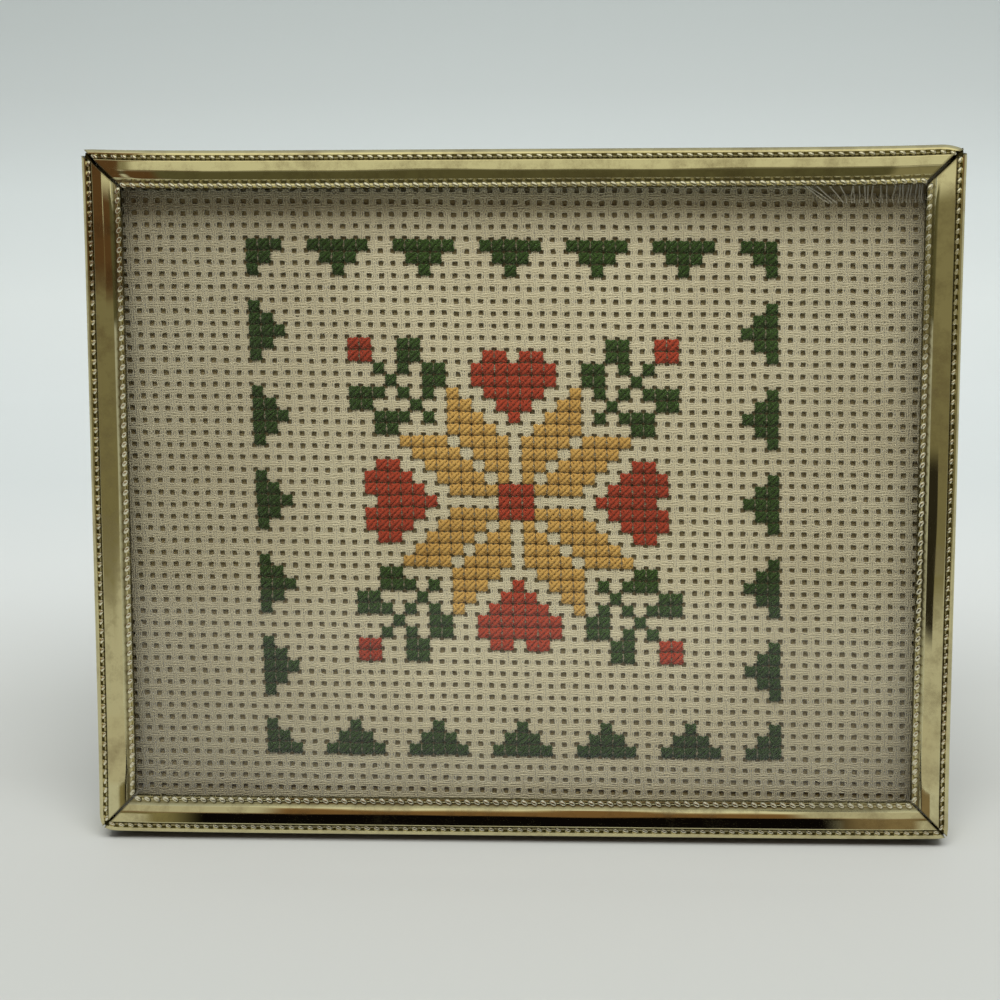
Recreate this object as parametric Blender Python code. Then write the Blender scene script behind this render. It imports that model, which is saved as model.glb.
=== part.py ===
"""A small cross stitch sampler on evenweave cloth, framed behind glass in a
brass desk frame that leans back on a folding strut. Metres, +Z up, the frame
faces -Y, and the origin is the middle of the ground under its bounding box."""

import math

import bmesh
import bpy
from mathutils import Euler, Vector

MM = 0.001

# Outside of the frame, and how far it leans back
FRAME_WIDTH = 129.1 * MM
FRAME_HEIGHT = 102.9 * MM
LEAN = math.radians(12.0)

# Rolled brass rail: sizes across its face, from the outer edge inwards
METAL = 0.45 * MM
RIM_END = 0.7 * MM
BAND_START = 1.5 * MM
RIDGE = 2.95 * MM
BAND_END = 4.15 * MM
LIP_START = 5.35 * MM
FACE_WIDTH = 5.55 * MM
FLANGE_WIDTH = 2.0 * MM

# The same rail: depths behind the highest line of its polished band, whose outer
# half is nearly level up to a ridge, past which it slopes back to the glass
RIM_TOP = 0.08 * MM
WALL_TOP = 0.6 * MM
BAND_OUTER_EDGE = 0.15 * MM
BAND_ROUNDING = 0.15 * MM
RIDGE_DEPTH = 0.08 * MM
SLOPE_MIDDLE = 0.23 * MM
BAND_INNER_EDGE = 0.48 * MM
OUTER_GROOVE = 0.6 * MM
INNER_GROOVE = 0.9 * MM
LIP_TOP = 0.65 * MM
LIP_END = 1.45 * MM

# Layers held in the rails, front to back
GAP = 0.3 * MM
SEAT_CLEARANCE = 0.7 * MM
GLASS_THICKNESS = 2.0 * MM
CLOTH_THICKNESS = 1.0 * MM
BOARD_THICKNESS = 3.0 * MM

# Worn flat along the bottom rail's rear edge, on which the frame stands
FOOT_WIDTH = 1.5 * MM

# Frayed top right corner of the cloth, from the middle of the frame
FRAY_LEFT = 43.5 * MM
FRAY_BOTTOM = 43.95 * MM

# Folding strut behind
HINGE_HEIGHT = 70.0 * MM
STRUT_SLOPE = math.radians(18.0)
STRUT_THICKNESS = 2.5 * MM
STRUT_TOP_WIDTH = 20.0 * MM
STRUT_FOOT_WIDTH = 34.0 * MM
PLATE_WIDTH = 14.0 * MM
PLATE_THICKNESS = 0.6 * MM
PLATE_FLAP = 9.0 * MM

# Ends of the rails, in millimetres: the width of the open seam at its outer and
# its inner end, how far and over what length the outer edge is nipped in, and by
# how much its tip stops short
RAIL_ENDS = {
    "top_at_left": {"outer_seam": 0.42, "inner_seam": 0.32, "nip": 0.05, "length": 2.0, "short": 0.0},
    "left_at_top": {"outer_seam": 0.42, "inner_seam": 0.32, "nip": 0.0, "length": 2.0, "short": 0.55},
    "top_at_right": {"outer_seam": 0.45, "inner_seam": 0.35, "nip": 0.8, "length": 3.2, "short": 0.0},
    "right_at_top": {"outer_seam": 0.45, "inner_seam": 0.35, "nip": 0.05, "length": 2.0, "short": 0.85},
    "right_at_bottom": {"outer_seam": 0.32, "inner_seam": 0.32, "nip": 0.15, "length": 1.6, "short": 0.15},
    "bottom_at_right": {"outer_seam": 0.32, "inner_seam": 0.32, "nip": 0.2, "length": 1.6, "short": 0.2},
    "bottom_at_left": {"outer_seam": 0.34, "inner_seam": 0.32, "nip": 0.45, "length": 2.0, "short": 0.45},
    "left_at_bottom": {"outer_seam": 0.34, "inner_seam": 0.32, "nip": 0.45, "length": 2.0, "short": 0.45},
}
STEPS_PER_NIP = 4
STEPS_PER_CURVE = 4
STEPS_PER_RIM = 3

# Depths that follow from the sizes above
GLASS_FRONT = LIP_END + GAP
CLOTH_FRONT = GLASS_FRONT + GLASS_THICKNESS + GAP
BOARD_FRONT = CLOTH_FRONT + CLOTH_THICKNESS + GAP
BOARD_BACK = BOARD_FRONT + BOARD_THICKNESS
RAIL_DEPTH = BOARD_BACK + GAP + METAL
SHEET_INSET = METAL + SEAT_CLEARANCE


def clear_scene():
    for old in list(bpy.data.objects):
        bpy.data.objects.remove(old, do_unlink=True)


def material(name, colour, roughness, metallic=0.0, alpha=1.0):
    made = bpy.data.materials.new(name)
    made.use_nodes = True
    shader = made.node_tree.nodes["Principled BSDF"]
    shader.inputs["Base Color"].default_value = (*colour, 1.0)
    shader.inputs["Roughness"].default_value = roughness
    shader.inputs["Metallic"].default_value = metallic
    shader.inputs["Alpha"].default_value = alpha
    made.diffuse_color = (*colour, alpha)
    return made


def add_object(name, bm, finish, parent):
    bmesh.ops.recalc_face_normals(bm, faces=bm.faces)
    mesh = bpy.data.meshes.new(name)
    bm.to_mesh(mesh)
    bm.free()
    piece = bpy.data.objects.new(name, mesh)
    mesh.materials.append(finish)
    piece.parent = parent
    bpy.context.collection.objects.link(piece)
    return piece


def curve(start, end, middle_depth):
    """Points after start, up to end, of a curve whose middle lies at a given depth."""
    points = []
    bow = middle_depth - (start[1] + end[1]) / 2
    for step in range(1, STEPS_PER_CURVE + 1):
        part = step / STEPS_PER_CURVE
        across = start[0] + (end[0] - start[0]) * part
        chord = start[1] + (end[1] - start[1]) * part
        points.append((across, chord + bow * 4 * part * (1 - part)))
    return points


def rail_profile(stands_on_ground):
    """Closed outline of the rolled sheet, as (across, depth) pairs."""
    shape = [(FACE_WIDTH, LIP_END), (FACE_WIDTH, LIP_TOP + 0.15 * MM), (FACE_WIDTH - 0.1 * MM, LIP_TOP)]
    shape.append((LIP_START, LIP_TOP))
    shape += curve(shape[-1], (BAND_END, BAND_INNER_EDGE), INNER_GROOVE)
    shape += curve(shape[-1], (RIDGE, RIDGE_DEPTH), SLOPE_MIDDLE)
    shape.append((BAND_START + BAND_ROUNDING, 0.0))
    shape.append((BAND_START, BAND_OUTER_EDGE))
    shape += curve(shape[-1], (RIM_END, RIM_TOP), OUTER_GROOVE)
    for step in range(1, STEPS_PER_RIM + 1):
        turn = math.pi / 2 * step / STEPS_PER_RIM
        rounding_across = RIM_END * (1 - math.sin(turn))
        rounding_depth = WALL_TOP - (WALL_TOP - RIM_TOP) * math.cos(turn)
        shape.append((rounding_across, rounding_depth))

    rise = FOOT_WIDTH * math.sin(LEAN) if stands_on_ground else 0.0
    if stands_on_ground:
        shape.append((0.0, RAIL_DEPTH - FOOT_WIDTH * math.cos(LEAN)))
    shape += [(rise, RAIL_DEPTH), (FLANGE_WIDTH, RAIL_DEPTH), (FLANGE_WIDTH, RAIL_DEPTH - METAL)]
    if stands_on_ground:
        shape.append((METAL + rise, RAIL_DEPTH - METAL))
        shape.append((METAL, RAIL_DEPTH - METAL - FOOT_WIDTH * math.cos(LEAN)))
    else:
        shape.append((METAL, RAIL_DEPTH - METAL))

    # The sheet's hidden face, its bends eased
    shape.append((METAL, OUTER_GROOVE + METAL))
    shape.append(((RIM_END + BAND_START) / 2, OUTER_GROOVE + METAL))
    shape.append((BAND_START + METAL, BAND_OUTER_EDGE + METAL))
    shape.append((RIDGE, RIDGE_DEPTH + METAL))
    shape.append((BAND_END - METAL, BAND_INNER_EDGE + METAL))
    shape.append(((BAND_END + LIP_START) / 2 - METAL, LIP_END))
    return shape


def outermost(across):
    """A share from 1 at the rail's outer edge to 0 where its band starts."""
    return max(0.0, 1 - across / BAND_START)


def nipped(across, from_end, rail_end):
    """Where a point across the face goes, near an end where the rail is nipped in."""
    reach = max(0.0, 1 - from_end / (rail_end["length"] * MM)) ** 2
    return across + rail_end["nip"] * MM * reach * outermost(across)


def half_length(length, across, rail_end):
    """From the rail's middle to its mitred end, at a point across its face."""
    widening = (rail_end["inner_seam"] - rail_end["outer_seam"]) * across / FACE_WIDTH
    seam = (rail_end["outer_seam"] + widening) * MM
    return length / 2 - across - seam / math.sqrt(2) - rail_end["short"] * MM * outermost(across)


def make_rail(name, length, start, end, stands_on_ground, finish, parent):
    """A mitred rail along local X, its face's outer edge at local Z 0, facing -Y."""
    profile = rail_profile(stands_on_ground)
    steps = range(STEPS_PER_NIP + 1)
    stations = [(-1, RAIL_ENDS[start], step) for step in steps]
    stations += [(1, RAIL_ENDS[end], step) for step in reversed(steps)]

    bm = bmesh.new()
    rings = []
    for side, rail_end, step in stations:
        from_end = rail_end["length"] * MM * step / STEPS_PER_NIP
        ring = []
        for across, depth in profile:
            along = side * (half_length(length, across, rail_end) - from_end)
            ring.append(bm.verts.new((along, depth, nipped(across, from_end, rail_end))))
        rings.append(ring)
    for ring, following in zip(rings, rings[1:]):
        for i in range(len(profile)):
            j = (i + 1) % len(profile)
            bm.faces.new((ring[i], ring[j], following[j], following[i]))
    bm.faces.new(rings[0])
    bm.faces.new(reversed(rings[-1]))
    return add_object(name, bm, finish, parent)


def make_rails(finish, parent):
    half_width = FRAME_WIDTH / 2
    half_height = FRAME_HEIGHT / 2
    rails = [
        ("rail_bottom", FRAME_WIDTH, "bottom_at_left", "bottom_at_right", (0, 0, 0), 0),
        ("rail_top", FRAME_WIDTH, "top_at_right", "top_at_left", (0, 0, FRAME_HEIGHT), 180),
        ("rail_left", FRAME_HEIGHT, "left_at_top", "left_at_bottom", (-half_width, 0, half_height), 90),
        ("rail_right", FRAME_HEIGHT, "right_at_bottom", "right_at_top", (half_width, 0, half_height), -90),
    ]
    made = []
    for name, length, start, end, place, turn in rails:
        rail = make_rail(name, length, start, end, name == "rail_bottom", finish, parent)
        rail.location = place
        rail.rotation_euler = (0, math.radians(turn), 0)
        made.append(rail)
    return made


def make_slab(name, outline, front, thickness, finish, parent):
    """A flat layer with the given outline, as (x, z) pairs from the frame's middle."""
    bm = bmesh.new()
    face = bm.faces.new([bm.verts.new((x, front, FRAME_HEIGHT / 2 + z)) for x, z in outline])
    extruded = bmesh.ops.extrude_face_region(bm, geom=[face])
    moved = [item for item in extruded["geom"] if isinstance(item, bmesh.types.BMVert)]
    bmesh.ops.translate(bm, vec=(0, thickness, 0), verts=moved)
    return add_object(name, bm, finish, parent)


def sheet_outline():
    x = FRAME_WIDTH / 2 - SHEET_INSET
    z = FRAME_HEIGHT / 2 - SHEET_INSET
    return [(-x, -z), (x, -z), (x, z), (-x, z)]


def frayed_outline():
    """The cloth's outline, with the rows gone that have frayed away at one corner."""
    lower_left, lower_right, upper_right, upper_left = sheet_outline()
    outer = (upper_right[0], FRAY_BOTTOM)
    inner = (FRAY_LEFT, FRAY_BOTTOM)
    above = (FRAY_LEFT, upper_right[1])
    return [lower_left, lower_right, outer, inner, above, upper_left]


def make_strut(finish, parent):
    """The tapered leg, hinged at its top edge, with its foot cut level."""
    opening = LEAN + STRUT_SLOPE
    pivot = Vector((0, BOARD_BACK + GAP, HINGE_HEIGHT))
    height = (Euler((-LEAN, 0, 0)).to_matrix() @ pivot).z + foot_drop()
    front_length = height / math.cos(STRUT_SLOPE)
    back_length = front_length + STRUT_THICKNESS * math.tan(STRUT_SLOPE)

    bm = bmesh.new()
    outline = []
    for depth, length in ((0, front_length), (STRUT_THICKNESS, back_length)):
        growth = (STRUT_FOOT_WIDTH - STRUT_TOP_WIDTH) / front_length
        foot = (STRUT_TOP_WIDTH + growth * length) / 2
        top = STRUT_TOP_WIDTH / 2
        corners = [(-top, depth, 0), (top, depth, 0), (foot, depth, -length), (-foot, depth, -length)]
        outline.append([bm.verts.new(corner) for corner in corners])
    front, back = outline
    bm.faces.new(front)
    bm.faces.new(reversed(back))
    for i in range(len(front)):
        j = (i + 1) % len(front)
        bm.faces.new((front[j], front[i], back[i], back[j]))
    leg = add_object("strut_leg", bm, finish, parent)
    leg.location = pivot
    leg.rotation_euler = (opening, 0, 0)
    return leg


def make_hinge_plate(finish, parent):
    """One bent strap: a flap on the back board and a flap down the leg's back."""
    opening = LEAN + STRUT_SLOPE
    board_line = PLATE_THICKNESS / 2
    leg_line = STRUT_THICKNESS + GAP + PLATE_THICKNESS / 2
    down = Vector((math.sin(opening), -math.cos(opening)))
    out = Vector((math.cos(opening), math.sin(opening)))
    on_leg = out * leg_line
    bend = on_leg - down * ((on_leg.x - board_line) / down.x)
    half_turn = math.tan(opening / 2) * PLATE_THICKNESS / 2
    side = Vector((PLATE_THICKNESS / 2, 0))
    along = Vector((0, 1))
    leg_side = out * PLATE_THICKNESS / 2
    leg_end = on_leg + down * PLATE_FLAP
    outline = [
        bend + along * PLATE_FLAP - side,
        bend + along * PLATE_FLAP + side,
        bend + side + along * half_turn,
        leg_end + leg_side,
        leg_end - leg_side,
        bend - side - along * half_turn,
    ]
    bm = bmesh.new()
    face = bm.faces.new([bm.verts.new((-PLATE_WIDTH / 2, p.x, p.y)) for p in outline])
    extruded = bmesh.ops.extrude_face_region(bm, geom=[face])
    moved = [item for item in extruded["geom"] if isinstance(item, bmesh.types.BMVert)]
    bmesh.ops.translate(bm, vec=(PLATE_WIDTH, 0, 0), verts=moved)
    plate = add_object("strut_hinge", bm, finish, parent)
    plate.location = (0, BOARD_BACK + GAP, HINGE_HEIGHT)
    return plate


def foot_drop():
    """How far the bottom rail's foot lies below the frame's own lower front edge."""
    return (RAIL_DEPTH - FOOT_WIDTH * math.cos(LEAN)) * math.sin(LEAN)


def stand_over_origin(frame, pieces):
    """Move the frame so that the middle of its box is over the origin."""
    bpy.context.view_layer.update()
    points = [piece.matrix_world @ vertex.co for piece in pieces for vertex in piece.data.vertices]
    for axis in (0, 1):
        low = min(point[axis] for point in points)
        high = max(point[axis] for point in points)
        frame.location[axis] -= (low + high) / 2


def build():
    clear_scene()
    brass = material("brass", (0.46, 0.38, 0.19), 0.3, metallic=1.0)
    clear = material("glass", (0.95, 0.97, 0.96), 0.05, alpha=0.35)
    linen = material("linen", (0.52, 0.47, 0.36), 0.9)
    dark_board = material("dark_board", (0.05, 0.045, 0.04), 0.8)
    plate_metal = material("hinge_metal", (0.42, 0.36, 0.2), 0.4, metallic=1.0)

    frame = bpy.data.objects.new("leaning_frame", None)
    frame.rotation_euler = (-LEAN, 0, 0)
    frame.location = (0, 0, foot_drop())
    bpy.context.collection.objects.link(frame)

    pieces = make_rails(brass, frame)
    pieces.append(make_slab("glass", sheet_outline(), GLASS_FRONT, GLASS_THICKNESS, clear, frame))
    pieces.append(make_slab("cloth", frayed_outline(), CLOTH_FRONT, CLOTH_THICKNESS, linen, frame))
    pieces.append(make_slab("back_board", sheet_outline(), BOARD_FRONT, BOARD_THICKNESS, dark_board, frame))
    pieces.append(make_strut(dark_board, frame))
    pieces.append(make_hinge_plate(plate_metal, frame))
    stand_over_origin(frame, pieces)


build()
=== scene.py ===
"""A framed cross stitch sampler, finished as a maker would see it: a desk frame of
beaded brass rails round a sheet of glass, an ecru evenweave cloth worked in
stranded cotton behind it, a papered back board and a strut to lean on."""

import math

import bpy
import numpy as np
from mathutils import Matrix, Vector


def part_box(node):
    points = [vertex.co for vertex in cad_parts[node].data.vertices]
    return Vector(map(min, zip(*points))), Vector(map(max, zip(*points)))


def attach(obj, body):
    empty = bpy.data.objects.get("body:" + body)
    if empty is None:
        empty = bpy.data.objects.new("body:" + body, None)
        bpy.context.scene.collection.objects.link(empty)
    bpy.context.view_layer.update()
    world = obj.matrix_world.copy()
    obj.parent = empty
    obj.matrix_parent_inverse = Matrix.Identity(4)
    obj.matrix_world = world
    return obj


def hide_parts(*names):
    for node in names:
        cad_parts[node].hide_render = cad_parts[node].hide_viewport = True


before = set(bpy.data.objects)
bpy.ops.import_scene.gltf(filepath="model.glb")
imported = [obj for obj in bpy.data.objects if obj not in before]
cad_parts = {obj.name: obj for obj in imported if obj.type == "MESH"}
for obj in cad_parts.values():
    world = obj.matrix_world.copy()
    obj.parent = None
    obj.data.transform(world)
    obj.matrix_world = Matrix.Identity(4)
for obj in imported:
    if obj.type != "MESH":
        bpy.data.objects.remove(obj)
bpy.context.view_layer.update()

MM = 0.001


# Camera: held by hand a little above the frame, 54 mm lens on a full frame,
# just right of the middle and turned a hair clockwise.
AIM = Vector((-2.91, -13.41, 51.70)) * MM
AIM_DISTANCE = 222.93 * MM
VIEW_ELEVATION = math.radians(17.523)
VIEW_TURN = math.radians(2.173)
VIEW_ROLL = math.radians(-0.518)
LENS = 54.0

outwards = Vector((
    math.sin(VIEW_TURN) * math.cos(VIEW_ELEVATION),
    -math.cos(VIEW_TURN) * math.cos(VIEW_ELEVATION),
    math.sin(VIEW_ELEVATION),
))
bpy.ops.object.camera_add()
camera = bpy.context.object
camera.name = "camera"
camera.data.lens = LENS
camera.data.clip_start = 5 * MM
looking = outwards.to_track_quat("Z", "Y").to_matrix().to_4x4()
camera.matrix_world = (
    Matrix.Translation(AIM + outwards * AIM_DISTANCE) @ looking @ Matrix.Rotation(VIEW_ROLL, 4, "Z")
)
bpy.context.scene.camera = camera
bpy.context.scene.view_settings.view_transform = "Standard"


# Floor and backdrop: one pale sheet of card, level under the frame and swept up
# behind it, with painted shade close to the frame and high up, and a painted brighter band between.
FLOOR_HALF_WIDTH = 700 * MM
FLOOR_FRONT = -260 * MM
FLOOR_BACK = 260 * MM
SWEEP_RADIUS = 240 * MM
SWEEP_STEPS = 12
BACKDROP_HEIGHT = 500 * MM
COLOURS_START = -60 * MM
COLOURS_END = 480 * MM
# The card's colour by distance back, with painted shade near the frame and high up.
CARD_COLOURS_AND_PAINTED_LIGHT = (
    (0.000, (0.52, 0.535, 0.51)),
    (0.065, (0.535, 0.545, 0.52)),
    (0.105, (0.53, 0.54, 0.515)),
    (0.165, (0.63, 0.645, 0.62)),
    (0.260, (0.71, 0.735, 0.72)),
    (0.420, (0.74, 0.785, 0.78)),
    (0.600, (0.85, 0.90, 0.90)),
    (0.760, (0.87, 0.93, 0.93)),
    (0.870, (0.79, 0.86, 0.87)),
    (0.940, (0.66, 0.72, 0.73)),
    (1.000, (0.58, 0.64, 0.65)),
)

bpy.ops.object.select_all(action="DESELECT")
bpy.ops.mesh.primitive_plane_add(size=2)
floor = bpy.context.object
floor.name = "floor"
for vertex in floor.data.vertices:
    vertex.co.x *= FLOOR_HALF_WIDTH
    vertex.co.y = FLOOR_FRONT if vertex.co.y < 0 else FLOOR_BACK
bpy.ops.object.mode_set(mode="EDIT")
bpy.ops.mesh.select_all(action="DESELECT")
bpy.ops.object.mode_set(mode="OBJECT")
for edge in floor.data.edges:
    edge.select = all(floor.data.vertices[i].co.y > 0 for i in edge.vertices)
bpy.ops.object.mode_set(mode="EDIT")
bpy.ops.mesh.select_mode(type="EDGE")
for step in range(SWEEP_STEPS):
    turn = math.pi / 2 * (step + 0.5) / SWEEP_STEPS
    length = 2 * SWEEP_RADIUS * math.sin(math.pi / 4 / SWEEP_STEPS)
    move = (0, length * math.cos(turn), length * math.sin(turn))
    bpy.ops.mesh.extrude_region_move(TRANSFORM_OT_translate={"value": move})
bpy.ops.mesh.extrude_region_move(TRANSFORM_OT_translate={"value": (0, 0, BACKDROP_HEIGHT)})
bpy.ops.object.mode_set(mode="OBJECT")
bpy.ops.object.shade_smooth()


def new_finish(name):
    """A new material, with its nodes, its links and its shader."""
    finish = bpy.data.materials.new(name)
    finish.use_nodes = True
    nodes = finish.node_tree.nodes
    return finish, nodes, finish.node_tree.links, nodes["Principled BSDF"]


def set_stops(ramp, stops):
    """Fills a colour ramp with stops, given as (position, colour) pairs."""
    elements = ramp.color_ramp.elements
    while len(elements) < len(stops):
        elements.new(0.5)
    for element, (position, colour) in zip(elements, stops):
        element.position = position
        element.color = (*colour, 1)


card, nodes, links, shader = new_finish("pale_card")
shader.inputs["Roughness"].default_value = 0.75
place = nodes.new("ShaderNodeTexCoord")
split = nodes.new("ShaderNodeSeparateXYZ")
links.new(place.outputs["Object"], split.inputs["Vector"])
distance = nodes.new("ShaderNodeMapRange")
distance.inputs["From Min"].default_value = COLOURS_START
distance.inputs["From Max"].default_value = COLOURS_END
links.new(split.outputs["Y"], distance.inputs["Value"])
ramp = nodes.new("ShaderNodeValToRGB")
set_stops(ramp, CARD_COLOURS_AND_PAINTED_LIGHT)
links.new(distance.outputs["Result"], ramp.inputs["Fac"])
links.new(ramp.outputs["Color"], shader.inputs["Base Color"])
floor.data.materials.append(card)


# Cards: small light and dark cards with soft edges that glow, stood close in front of the
# frame for its polished brass to mirror, each for one of the rails: painted reflections.
# The camera doesn't see them, and they light nothing.
PAINTED_REFLECTION_CARDS = (
    ("card_for_top_band", (8.5, -60, 113.7), (167, 13), (0.78, 0.78, 0.66), (2, 1)),
    ("card_for_top_rim", (8.5, -60, 145), (167, 46), (1.10, 1.08, 0.90), (2, 1)),
    ("card_for_top_slope", (0, -11, 88.5), (114, 23), (0.115, 0.110, 0.062), (2, 2)),
    ("card_for_bottom_band", (-1.5, -32, 4.6), (113, 6.8), (0.004, 0.003, 0.003), (8, 0.5)),
    ("card_for_bottom_left", (-54.5, -32.5, 4.6), (13, 6.8), (0.27, 0.245, 0.14), (3, 0.5)),
    ("card_for_bottom_right", (56, -32.5, 4.6), (14, 6.8), (0.26, 0.20, 0.125), (2, 0.5)),
    ("card_for_left_of_slope", (-56, -32, 13.5), (38, 12), (0.58, 0.57, 0.50), (6, 1.5)),
    ("card_for_right_of_slope", (54, -32, 13.5), (26, 12), (0.58, 0.57, 0.50), (6, 1.5)),
    ("card_for_left_band", (-65.75, -12, 96.75), (8.5, 30.5), (0.125, 0.068, 0.034), (0.5, 7)),
    ("card_for_left_slope", (-55, -12, 91), (13, 22), (0.125, 0.068, 0.034), (1, 5)),
    ("card_for_right_top", (61, -12, 86.65), (18, 27.3), (0.28, 0.26, 0.17), (3, 4)),
    ("card_for_right_rail", (51, -30, 46), (20, 34), (0.030, 0.027, 0.020), (2, 5)),
)

for name, middle, (width, height), glow, fades in PAINTED_REFLECTION_CARDS:
    place = Vector(middle) * MM
    bpy.ops.mesh.primitive_plane_add(size=1, location=place, rotation=(math.pi / 2, 0, 0))
    reflected = bpy.context.object
    reflected.name = name
    reflected.scale = (width * MM, height * MM, 1)
    bpy.ops.object.transform_apply(location=True, rotation=True, scale=True)
    reflected.visible_camera = False
    reflected.visible_diffuse = False
    reflected.visible_shadow = False
    reflected.visible_transmission = False
    reflection_glow, nodes, links, shader = new_finish(name)
    reflection_glow.cycles.emission_sampling = "NONE"
    shader.inputs["Base Color"].default_value = (0, 0, 0, 1)
    shader.inputs["Specular IOR Level"].default_value = 0
    # Each card's glow is the painted reflection it puts in the brass.
    shader.inputs["Emission Color"].default_value = (*glow, 1)
    shader.inputs["Emission Strength"].default_value = 1
    place = nodes.new("ShaderNodeTexCoord")
    split = nodes.new("ShaderNodeSeparateXYZ")
    links.new(place.outputs["UV"], split.inputs["Vector"])
    cover = nodes.new("ShaderNodeMath")
    cover.operation = "MULTIPLY"
    for number, (axis, length) in enumerate((("X", width), ("Y", height))):
        from_edge = nodes.new("ShaderNodeMath")
        from_edge.operation = "PINGPONG"
        from_edge.inputs[1].default_value = 0.5
        links.new(split.outputs[axis], from_edge.inputs[0])
        fade = nodes.new("ShaderNodeMapRange")
        fade.interpolation_type = "SMOOTHSTEP"
        fade.inputs["From Max"].default_value = fades[number] / length
        links.new(from_edge.outputs["Value"], fade.inputs["Value"])
        links.new(fade.outputs["Result"], cover.inputs[number])
    links.new(cover.outputs["Value"], shader.inputs["Alpha"])
    reflected.data.materials.append(reflection_glow)

# Flag: a dark strip held low under the front of the bottom rail, out of sight,
# that keeps the light from the gap between the rail and the floor.
FLAG_WIDTH = 127 * MM
FLAG_LENGTH = 2.6 * MM
FLAG_PLACE = Vector((0, -22.0, 0.8)) * MM

bpy.ops.mesh.primitive_plane_add(size=1, location=FLAG_PLACE)
flag = bpy.context.object
flag.name = "flag"
flag.scale = (FLAG_WIDTH, FLAG_LENGTH, 1)
bpy.ops.object.transform_apply(location=True, rotation=True, scale=True)
flag.visible_camera = False
flag.visible_glossy = False
flag.visible_transmission = False
black, nodes, links, shader = new_finish("black_flag")
shader.inputs["Base Color"].default_value = (0, 0, 0, 1)
flag.data.materials.append(black)


# Light: an overcast room, dim in front up to the height of a head, brighter at the
# horizon and overhead, and one wide soft lamp above the lens.
ROOM_COLOURS = (
    (0.000, (0.12, 0.115, 0.08)),
    (0.440, (0.12, 0.115, 0.08)),
    (0.455, (0.60, 0.60, 0.54)),
    (0.518, (0.60, 0.60, 0.54)),
    (0.530, (0.22, 0.20, 0.12)),
    (0.625, (0.25, 0.23, 0.15)),
    (0.645, (0.20, 0.12, 0.06)),
    (0.795, (0.24, 0.135, 0.065)),
    (0.826, (0.48, 0.40, 0.27)),
    (0.850, (0.92, 0.90, 0.82)),
    (1.000, (1.10, 1.12, 1.10)),
)
SURROUND_COLOUR = (0.56, 0.585, 0.59, 1)
LAMP_PLACE = Vector((35, -255, 560)) * MM
LAMP_AIM = Vector((0, 0, 40)) * MM
LAMP_WIDTH = 640 * MM
LAMP_DEPTH = 300 * MM
LAMP_POWER = 3.3

world = bpy.data.worlds.new("room")
bpy.context.scene.world = world
world.use_nodes = True
nodes = world.node_tree.nodes
links = world.node_tree.links
background = nodes["Background"]
background.inputs["Strength"].default_value = 1
place = nodes.new("ShaderNodeTexCoord")
split = nodes.new("ShaderNodeSeparateXYZ")
links.new(place.outputs["Generated"], split.inputs["Vector"])
height = nodes.new("ShaderNodeMapRange")
height.inputs["From Min"].default_value = -1
height.inputs["From Max"].default_value = 1
links.new(split.outputs["Z"], height.inputs["Value"])
ramp = nodes.new("ShaderNodeValToRGB")
set_stops(ramp, ROOM_COLOURS)
links.new(height.outputs["Result"], ramp.inputs["Fac"])
front = nodes.new("ShaderNodeMapRange")
front.interpolation_type = "SMOOTHSTEP"
front.inputs["From Min"].default_value = -0.75
front.inputs["From Max"].default_value = -0.35
links.new(split.outputs["Y"], front.inputs["Value"])
room = nodes.new("ShaderNodeMix")
room.data_type = "RGBA"
room.inputs["B"].default_value = SURROUND_COLOUR
links.new(front.outputs["Result"], room.inputs["Factor"])
links.new(ramp.outputs["Color"], room.inputs["A"])
links.new(room.outputs["Result"], background.inputs["Color"])

bpy.ops.object.light_add(type="AREA", location=LAMP_PLACE)
lamp = bpy.context.object
lamp.name = "soft_lamp"
lamp.data.shape = "RECTANGLE"
lamp.data.size = LAMP_WIDTH
lamp.data.size_y = LAMP_DEPTH
lamp.data.energy = LAMP_POWER
lamp.visible_glossy = False
lamp.rotation_euler = (LAMP_PLACE - LAMP_AIM).to_track_quat("Z", "Y").to_euler()


# Rails: four lengths of thin brass sheet rolled to one section, with a rounded
# rim, a groove for beads on each side of a flat polished band, and a lip over
# the glass. They are mitred, nipped in at the corners and left unsoldered.
LEAN = math.radians(12.0)
FRAME_WIDTH = 129.1 * MM
FRAME_HEIGHT = 102.9 * MM
METAL = 0.45 * MM
RIM_END = 0.7 * MM
BAND_START = 1.5 * MM
RIDGE = 2.95 * MM
BAND_END = 4.15 * MM
LIP_START = 5.35 * MM
FACE_WIDTH = 5.55 * MM
FLANGE_WIDTH = 2.0 * MM
RIM_TOP = 0.08 * MM
WALL_TOP = 0.6 * MM
BAND_OUTER_EDGE = 0.15 * MM
BAND_ROUNDING = 0.15 * MM
RIDGE_DEPTH = 0.08 * MM
RIDGE_ROUNDING = 0.07 * MM
SLOPE_MIDDLE = 0.23 * MM
BAND_INNER_EDGE = 0.48 * MM
OUTER_GROOVE = 0.6 * MM
INNER_GROOVE = 0.9 * MM
LIP_TOP = 0.65 * MM
LIP_ROUNDING = 0.2 * MM
LIP_END = 1.45 * MM
RAIL_DEPTH = 9.1 * MM
FOOT_WIDTH = 1.5 * MM
FOOT_START = RAIL_DEPTH - FOOT_WIDTH * math.cos(LEAN)
GLASS_INSET = 1.15 * MM
GLASS_FRONT = 1.75 * MM
GLASS_BACK = 3.75 * MM
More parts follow.
